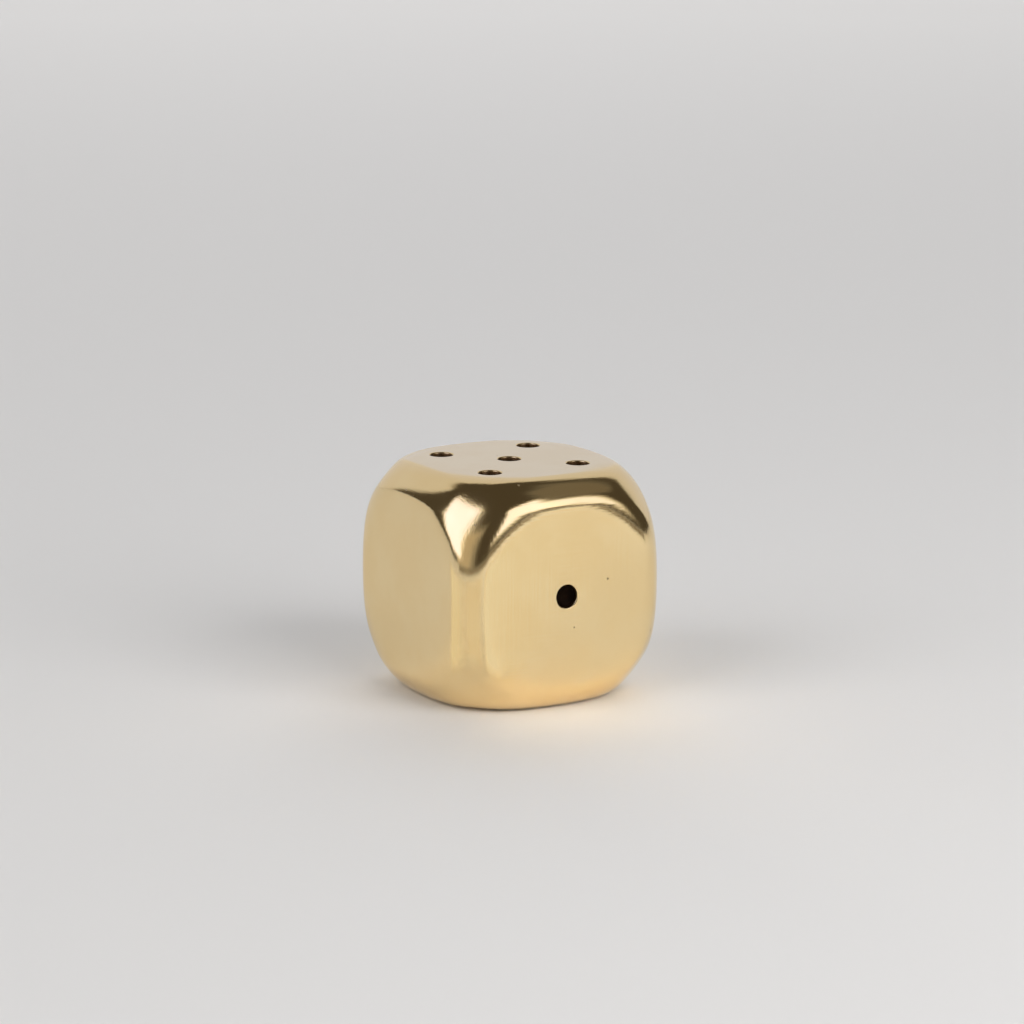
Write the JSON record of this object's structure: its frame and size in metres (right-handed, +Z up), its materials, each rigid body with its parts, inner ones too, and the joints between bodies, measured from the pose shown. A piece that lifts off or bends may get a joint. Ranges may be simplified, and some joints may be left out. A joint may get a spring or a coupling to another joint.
{
  "type": "gaming die",
  "caption": "Rounded solid brass die for board and dice games, its faces marked by drilled pips filled with black enamel, with a blank face.",
  "frame": {"origin": "middle of the underside, on the surface that the die stands on", "axes": "+Z up out of the five-pip face; -Y out of the one-pip face; -X out of the blank face"},
  "size_m": [0.025, 0.025, 0.025],
  "materials": {
    "brass": "polished, with fine polishing lines",
    "pip_enamel": "semi-gloss baked enamel"
  },
  "bodies": {
    "root": {"die_body": "brass", "pip_fill_five_1": "pip_enamel", "pip_fill_five_2": "pip_enamel", "pip_fill_five_3": "pip_enamel", "pip_fill_five_4": "pip_enamel", "pip_fill_five_5": "pip_enamel", "pip_fill_one_1": "pip_enamel", "pip_fill_two_1": "pip_enamel", "pip_fill_two_2": "pip_enamel", "pip_fill_four_1": "pip_enamel", "pip_fill_four_2": "pip_enamel", "pip_fill_four_3": "pip_enamel", "pip_fill_four_4": "pip_enamel", "pip_fill_three_1": "pip_enamel", "pip_fill_three_2": "pip_enamel", "pip_fill_three_3": "pip_enamel"}
  },
  "joints": []
}
